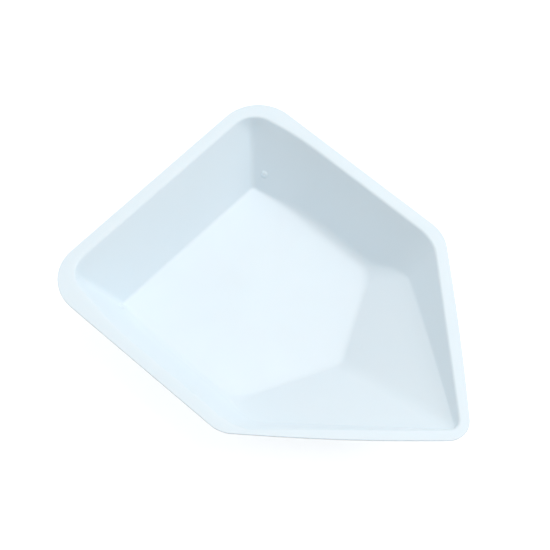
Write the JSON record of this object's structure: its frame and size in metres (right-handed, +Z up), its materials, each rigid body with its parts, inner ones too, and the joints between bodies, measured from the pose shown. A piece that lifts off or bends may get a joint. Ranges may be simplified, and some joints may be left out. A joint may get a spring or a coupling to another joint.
{
  "type": "weighing boat",
  "caption": "Shallow white plastic weighing boat with a flat floor, leaning walls, a flat flange and a pouring spout formed by ramps that meet in a valley.",
  "frame": {"origin": "on the surface that the boat stands on, under the centre of its overall length and width", "axes": "+X along the boat towards the spout, +Z up out of the well, +Y to the left side seen from the back"},
  "size_m": [0.1064, 0.08, 0.0155],
  "materials": {
    "sheet": "smooth white polystyrene sheet, satin to semi-gloss"
  },
  "bodies": {
    "root": {"boat": "sheet"}
  },
  "joints": []
}
